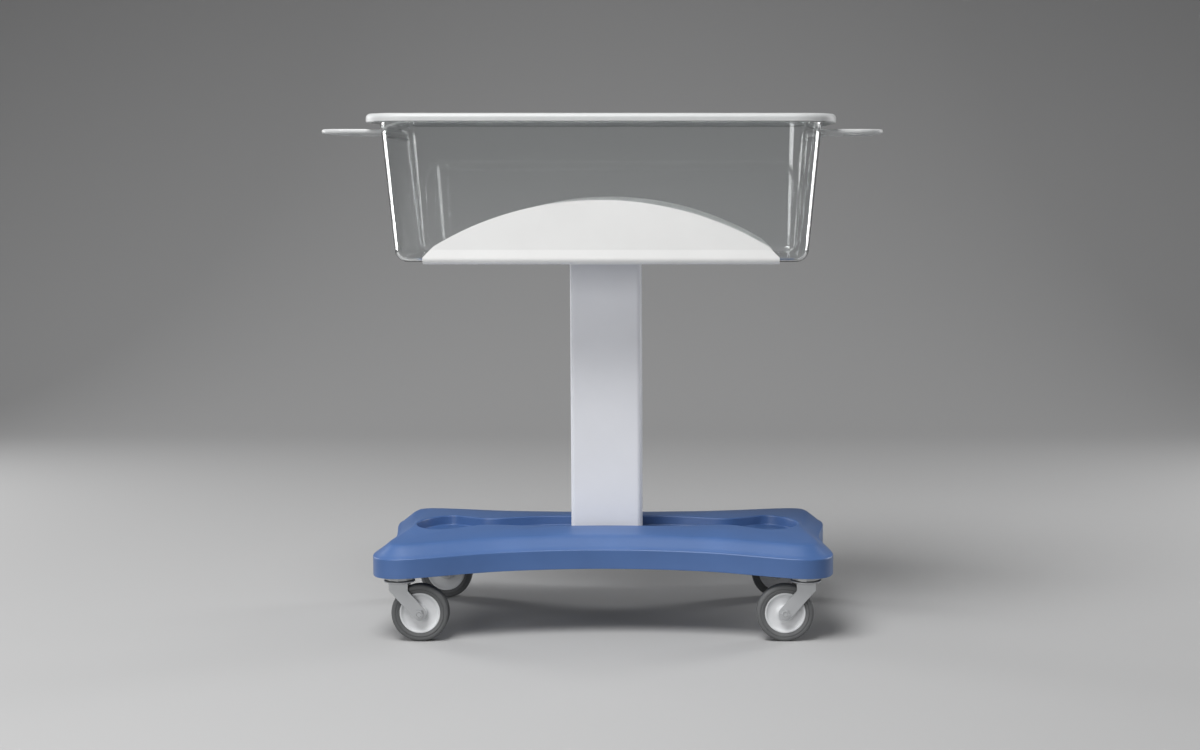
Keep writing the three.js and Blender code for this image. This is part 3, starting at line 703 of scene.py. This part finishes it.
def cover_inside(outline, recess):
    """Rings from under the recess's floor back to the inside of the skirt's foot."""
    under = inset_ring(outline, SHOULDER_INSET, SHOULDER_Z - COVER_WALL)
    under_lip = inset_ring(recess, -LIP - COVER_WALL, COVER_TOP - COVER_WALL)
    under_floor = inset_ring(recess, RECESS_DRAFT - COVER_WALL / 2, RECESS_FLOOR - COVER_WALL)
    crown_z = (BEVEL_TOP + 3 * COVER_TOP) / 4 - COVER_WALL
    return [
        pinched_ring(under_floor),
        under_floor,
        inset_ring(recess, -COVER_WALL, COVER_TOP - 2 * COVER_WALL),
        under_lip,
        blend_rings(under, under_lip, 0.5, crown_z),
        under,
        inset_ring(outline, BEVEL_INSET, BEVEL_TOP - COVER_WALL),
        inset_ring(outline, COVER_WALL, SKIRT_TOP - COVER_WALL),
        inset_ring(outline, COVER_WALL, SKIRT_BOTTOM),
    ]


def base_cover():
    outline, recess = cover_outline(), recess_outline()
    rings = cover_inside(outline, recess) + cover_outside(outline, recess)
    mesh = mesh_from("base_shell", *loft(rings, pinched=True))
    finish_mesh(mesh, BLUE, SHELL_SMOOTH)
    piece = add_object("base_shell", mesh)
    weigh(piece)
    dress(piece, "base", "base_cover")


# Column
def column():
    """A box tube with softened ends, on a foot plate as large as the node's own box."""
    low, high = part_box("column")
    foot, top = low[2] / MM, high[2] / MM
    half_x, half_y = COLUMN_WIDTH / 2, COLUMN_DEPTH / 2
    ends = (
        (COLUMN_EDGE, foot),
        (0, foot + COLUMN_EDGE),
        (0, top - COLUMN_EDGE),
        (COLUMN_EDGE, top),
    )
    tube = [
        rounded_ring(half_x - inset, half_y - inset, COLUMN_CORNER - inset, z)
        for inset, z in ends
    ]
    plate = [
        rounded_ring(high[0] / MM, high[1] / MM, FOOT_PLATE_CORNER, z)
        for z in (foot, foot + FOOT_PLATE_THICK)
    ]
    mesh = mesh_from("column_tube", *merged([loft(tube), loft(plate)]))
    finish_mesh(mesh, PALE, SHELL_SMOOTH)
    piece = add_object("column_tube", mesh)
    weigh(piece)
    dress(piece, "base", "column")


# Saddle
def cheek_limit(x):
    """How high the cheek rises at a distance along the tub: a tip, a short slope and an arc."""
    half = SADDLE_LENGTH / 2
    tip = SADDLE_BOTTOM + SADDLE_TIP
    shoulder_x, shoulder_z = half - SADDLE_CHAMFER, tip + SADDLE_CHAMFER
    top = SADDLE_BOTTOM + CHEEK_HEIGHT
    rise = top - shoulder_z
    radius = (shoulder_x ** 2 + rise ** 2) / (2 * rise)
    if abs(x) >= shoulder_x:
        return tip + (half - abs(x))
    return top - radius + math.sqrt(radius ** 2 - x ** 2)


def saddle_half(x, outset):
    """One half of the section, from the floor's edge to the cheek's top edge."""
    limit = cheek_limit(x)
    floor = SADDLE_BOTTOM + SADDLE_SHEET
    wall = SADDLE_BAND + outset
    center = (SADDLE_BAND - SADDLE_BEND, floor + SADDLE_BEND)
    path = [(SADDLE_BAND - SADDLE_BEND, floor - outset)]
    path += arc(center, SADDLE_BEND + outset, 270, 360)[1:]
    straight = min(limit, TUB_CREASE)
    path.append((wall, (path[-1][1] + straight) / 2))
    path.append((wall, straight))
    for step in range(1, CHEEK_STEPS + 1):
        z = straight + (limit - straight) * step / CHEEK_STEPS
        lean = TUB_TAPER * max(0.0, z - TUB_CREASE)
        path.append((wall + lean, z if limit > TUB_CREASE else straight + step * LEVEL_STEP))
    return path


def saddle_stations():
    half = SADDLE_LENGTH / 2
    shoulder = half - SADDLE_CHAMFER
    tip = [half - SADDLE_CHAMFER * step / TIP_STEPS for step in range(TIP_STEPS)]
    middle = [
        -shoulder + 2 * shoulder * step / SADDLE_STEPS for step in range(SADDLE_STEPS + 1)
    ]
    return [-x for x in tip] + middle + tip[::-1]


def saddle():
    rings = []
    for x in saddle_stations():
        inner, outer = saddle_half(x, 0), saddle_half(x, SADDLE_SHEET)
        loop = [(-y, z) for y, z in reversed(outer)] + outer
        loop += list(reversed(inner)) + [(-y, z) for y, z in inner]
        rings.append([(x, y, z) for y, z in loop])
    mesh = mesh_from("saddle_sheet", *loft(rings))
    finish_mesh(mesh, WHITE, SADDLE_SMOOTH)
    piece = add_object("saddle_sheet", mesh)
    bevel(piece, SADDLE_EDGE, SADDLE_EDGE_SEGMENTS)
    weigh(piece)
    dress(piece, "base", "saddle")


# Tub
def wall_at(z):
    return TUB_TAPER * (z - TUB_BOTTOM - TUB_ROUND)


def tub_rings(profile):
    return [
        rounded_ring(TUB_LENGTH / 2 + out, TUB_WIDTH / 2 + out, TUB_CORNER + out, z)
        for out, z in profile
    ]


def tub_outside():
    """The tub's outer form up its wall, round under the rolled rim and over it."""
    underside, low = TUB_TOP - RIM_THICK, TUB_TOP - RIM_DEPTH
    wall = wall_at(low)
    outside = wall + RIM_OVERHANG
    inside = outside - RIM_THICK
    small = RIM_ROUND - RIM_THICK
    foot = RIM_THICK / 2 - RIM_FOOT_FLAT
    profile = arc((-TUB_ROUND, TUB_CREASE), TUB_ROUND, -90, 0) + [(wall, low)]
    profile += arc((wall + small, underside - small), small, 180, 90, EDGE_STEPS)
    profile += arc((inside - small, underside - small), small, 90, 0, EDGE_STEPS)
    profile += arc((inside + foot, low + foot), foot, 180, 270, EDGE_STEPS)
    profile += arc((outside - foot, low + foot), foot, 270, 360, EDGE_STEPS)
    profile += arc((outside - RIM_ROUND, TUB_TOP - RIM_ROUND), RIM_ROUND, 0, 90)
    return loft(tub_rings(profile))


def tub_inside():
    """The room that is cut out of the tub, flared a little past its top."""
    edge = TUB_TOP - INNER_LIP
    wall = wall_at(edge) - TUB_WALL
    mouth = wall + INNER_LIP
    profile = arc((-TUB_ROUND, TUB_CREASE), TUB_ROUND - TUB_WALL, -90, 0) + [(wall, edge)]
    profile += arc((mouth, edge), INNER_LIP, 180, 90, EDGE_STEPS)[1:]
    profile.append((mouth + CUT_MARGIN, TUB_TOP + CUT_MARGIN))
    return loft(tub_rings(profile))


def ear_plan(root):
    half = EAR_WIDTH / 2
    corner_x, corner_y = EAR_TIP - EAR_CORNER, half - EAR_CORNER
    plan = [(root, -half)]
    plan += arc((corner_x, -corner_y), EAR_CORNER, -90, 0, EAR_STEPS)
    plan += arc((corner_x, corner_y), EAR_CORNER, 0, 90, EAR_STEPS)
    return plan + [(root, half)]


def slot_plan():
    end = SLOT_WIDTH / 2
    x, y = EAR_TIP - GRIP_WIDTH - end, SLOT_LENGTH / 2 - end
    return arc((x, y), end, 0, 180, EAR_STEPS) + arc((x, -y), end, 180, 360, EAR_STEPS)


def fillet_section(root, wall, low):
    foot, middle = low - EAR_FILLET, low + EAR_THICK / 2
    section = [(root, foot), (wall - TUB_TAPER * EAR_FILLET, foot)]
    section += arc((wall + EAR_FILLET, foot), EAR_FILLET, 180, 90)
    return section + [(wall + EAR_FILLET, middle), (root, middle)]


def ear_parts(sign):
    """A flat ear, its hand slot, and the fillet under its root."""
    top = TUB_TOP - RIM_DEPTH - EAR_DROP
    low = top - EAR_THICK
    wall = TUB_LENGTH / 2 + wall_at(low)
    root = wall - TUB_WALL
    reach = EAR_WIDTH / 2 - EAR_CORNER / 4

    def flat(a, b, level):
        return (sign * a, sign * b, level)

    def upright(a, b, level):
        return (sign * a, level, b)

    return (
        prism(ear_plan(root), low, top, flat),
        prism(slot_plan(), low - CUT_MARGIN, top + CUT_MARGIN, flat),
        prism(fillet_section(root, wall, low), -reach, reach, upright),
    )


def paint_edge_highlights(mesh):
    """The upper part of the lip and the ears take the painted highlight, a paler and less clear
    finish.
    """
    mesh.materials.append(EDGE)
    lip = (TUB_TOP - RIM_HIGHLIGHT_DEPTH) * MM
    ear = (TUB_LENGTH / 2 + wall_at(TUB_TOP - RIM_DEPTH)) * MM
    for face in mesh.polygons:
        if face.center.z > lip or abs(face.center.x) > ear:
            face.material_index = 1


def tub():
    piece = add_object("clear_tub", mesh_from("clear_tub", *tub_outside()))
    room = add_object("tub_room", mesh_from("tub_room", *tub_inside()))
    tools = [room]
    for sign in (-1, 1):
        plate, slot, fillet = ear_parts(sign)
        ear = add_object("ear_plate", mesh_from("ear_plate", *plate))
        hole = add_object("ear_slot", mesh_from("ear_slot", *slot))
        boolean(ear, hole, "DIFFERENCE")
        settle(ear)
        bevel(ear, EAR_EDGE, EAR_EDGE_SEGMENTS)
        settle(ear)
        gusset = add_object("ear_fillet", mesh_from("ear_fillet", *fillet))
        boolean(piece, ear, "UNION")
        boolean(piece, gusset, "UNION")
        tools += [ear, hole, gusset]
    boolean(piece, room, "DIFFERENCE")
    settle(piece)
    for tool in tools:
        bpy.data.objects.remove(tool)
    finish_mesh(piece.data, CLEAR, TUB_SMOOTH)
    paint_edge_highlights(piece.data)
    weigh(piece)
    dress(piece, "tub", "tub")


# Castors
def mirrored(side):
    return [(r, -y) for r, y in side] + [(r, y) for r, y in reversed(side)]


def tyre_profile():
    half = TYRE_WIDTH / 2
    center = (WHEEL_RADIUS - TYRE_SHOULDER, half - TYRE_SHOULDER)
    side = [(CORE_RADIUS + TYRE_SEAT_GAP, CORE_WIDTH / 2)]
    side += stepped((0, half), TYRE_SIDE)
    side += arc(center, TYRE_SHOULDER, *TYRE_SHOULDER_ARC, SHOULDER_STEPS)
    side += stepped((WHEEL_RADIUS, half), TREAD_EDGE)
    side += [(WHEEL_RADIUS, width) for width in TREAD_FLATS]
    return mirrored(side)


def core_profile():
    rim, hub = CORE_WIDTH / 2, TYRE_WIDTH / 2 + WHEEL_SIDE_GAP / 2
    disc = rim - DISC_DEPTH
    side = stepped((0, hub), CORE_BORE)
    side += stepped((HUB_RADIUS, hub), HUB_EDGE)
    side += stepped((HUB_RADIUS, disc), HUB_FOOT)
    side += stepped((CORE_RADIUS, disc), DISC_EDGE)
    side += stepped((CORE_RADIUS, rim), CORE_EDGE)
    return mirrored(side)


def crown_profile():
    profile = [(KINGPIN_HOLE, CROWN_BOTTOM)]
    profile += stepped((CROWN_RADIUS, CROWN_BOTTOM), CROWN_LOWER_EDGE)
    profile += stepped((CROWN_RADIUS, CROWN_TOP), CROWN_UPPER_EDGE)
    return profile + [(KINGPIN_HOLE, CROWN_TOP)]


def leg_outline():
    """A leg's side view: level top, two straight sides and an eye round the axle."""
    half = FORK_WIDTH / 2
    eye = (TRAIL, AXLE_Z)

    def tangent(x, side):
        away = (x - eye[0], FORK_KNEE - eye[1])
        spread_angle = math.acos(FORK_EYE / math.hypot(*away))
        return math.degrees(math.atan2(away[1], away[0]) + side * spread_angle)

    outline = [(half, CROWN_TOP), (-half, CROWN_TOP), (-half, FORK_KNEE)]
    outline += arc(eye, FORK_EYE, tangent(-half, 1), tangent(half, -1) + 360, EYE_STEPS)
    return outline + [(half, FORK_KNEE)]


def fork_leg(sign, y_low, y_high, place):
    """One leg between two depths, its outline drawn in a little at both faces."""
    outline = leg_outline()
    faces = (
        (y_low, LEG_EDGE),
        (y_low + LEG_EDGE, 0),
        (y_high - LEG_EDGE, 0),
        (y_high, LEG_EDGE),
    )
    rings = []
    for y, inset in faces:
        ring = []
        for point in outline:
            shrink = 1 - inset / math.dist(point, LEG_MIDDLE)
            a, b = (m + (p - m) * shrink for p, m in zip(point, LEG_MIDDLE))
            ring.append((place[0] + sign * a, place[1] + y, b))
        rings.append(ring)
    return loft(rings)


def castor_piece(name, shape, finish):
    mesh = mesh_from(name, *shape)
    finish_mesh(mesh, finish, CASTOR_SMOOTH)
    return add_object(name, mesh)


def castor(name, sign_x, sign_y):
    place = (sign_x * CASTOR_X, sign_y * CASTOR_Y, 0)
    inward = -sign_x
    hub = (place[0] + inward * TRAIL, place[1], AXLE_Z)
    room = TYRE_WIDTH / 2 + WHEEL_SIDE_GAP
    fork = merged([
        fork_leg(inward, room, room + FORK_LEG, place),
        fork_leg(inward, -room - FORK_LEG, -room, place),
        lathe(crown_profile(), place, "Z"),
    ])
    rim = lathe(core_profile(), hub, "Y")
    tread = lathe(tyre_profile(), hub, "Y")
    fork_body, wheel_body = f"fork_{name}", f"wheel_{name}"
    piece = castor_piece(f"fork_{name}", fork, ZINC)
    dress(piece, fork_body, f"castor_fork_{name}")
    piece = castor_piece(f"rim_{name}", rim, HUB)
    dress(piece, wheel_body, f"wheel_core_{name}")
    piece = castor_piece(f"tread_{name}", tread, RUBBER)
    dress(piece, wheel_body, f"tyre_{name}")


# Every node takes the material of its slot; those that no piece replaces keep their CAD mesh
def dress_nodes():
    slots = {part["node"]: part["material_slot"] for part in frame["record"]["subparts"]}
    for node, shown in frame["nodes"].items():
        finish = SLOT_MATERIALS[slots[node]]
        for slot in shown.material_slots:
            slot.material = finish


# Stage, light and camera
def stage_grey():
    """Pale on the floor and darker up the wall: painted shade, as the light falls off up a lit
    paper sweep.
    """
    made, nodes, links, shader = material("stage_grey")
    place = nodes.new("ShaderNodeTexCoord")
    split = nodes.new("ShaderNodeSeparateXYZ")
    links.new(place.outputs["Object"], split.inputs["Vector"])
    height = nodes.new("ShaderNodeMapRange")
    height.inputs["From Max"].default_value = WALL_DARK_FROM
    links.new(split.outputs["Z"], height.inputs["Value"])
    tone = ramp(nodes, links, height.outputs["Result"], FLOOR_TONE, WALL_TONE, 0.0, 1.0)
    links.new(tone, shader.inputs["Base Color"])
    shader.inputs["Roughness"].default_value = STAGE_ROUGH
    return made


def backdrop():
    """A wide pale floor that sweeps up into a wall behind."""
    path = [(SWEEP_FRONT, 0.0)]
    center = (SWEEP_BACK - SWEEP_RADIUS, SWEEP_RADIUS)
    path += arc(center, SWEEP_RADIUS, 270, 360, SWEEP_STEPS)
    path.append((SWEEP_BACK, SWEEP_HEIGHT))
    points = [(x / MM, y / MM, z / MM) for y, z in path for x in (-SWEEP_HALF, SWEEP_HALF)]
    faces = [(2 * i, 2 * i + 1, 2 * i + 3, 2 * i + 2) for i in range(len(path) - 1)]
    mesh = mesh_from("sweep", points, faces)
    finish_mesh(mesh, stage_grey(), STAGE_SMOOTH)
    add_object("sweep", mesh)


def lamp(name, place, target, size, power):
    data = bpy.data.lights.new(name, "AREA")
    data.shape = "RECTANGLE"
    data.size, data.size_y = size
    data.energy = power
    made = bpy.data.objects.new(name, data)
    made.location = place
    made.rotation_euler = (Vector(target) - Vector(place)).to_track_quat("-Z", "Y").to_euler()
    bpy.context.scene.collection.objects.link(made)


def studio():
    scene = bpy.context.scene
    scene.view_settings.view_transform = "Standard"
    world = bpy.data.worlds.new("studio")
    world.use_nodes = True
    world.node_tree.nodes["Background"].inputs["Color"].default_value = WORLD_TONE
    scene.world = world
    for row in LAMPS:
        lamp(*row)


def camera():
    data = bpy.data.cameras.new("photo_camera")
    data.sensor_width = SENSOR_WIDTH
    data.lens = FOCAL_PIXELS * SENSOR_WIDTH / FRAME_WIDTH
    data.shift_x = (FRAME_WIDTH / 2 - PRINCIPAL_PIXEL_X) / FRAME_WIDTH
    made = bpy.data.objects.new("photo_camera", data)
    made.location = CAMERA_PLACE
    made.rotation_euler = (math.pi / 2 - CAMERA_PITCH, 0, 0)
    bpy.context.scene.collection.objects.link(made)
    bpy.context.scene.camera = made


camera()
studio()
backdrop()
dress_nodes()
base_cover()
column()
saddle()
tub()
for spot in PLACES:
    castor(*spot)
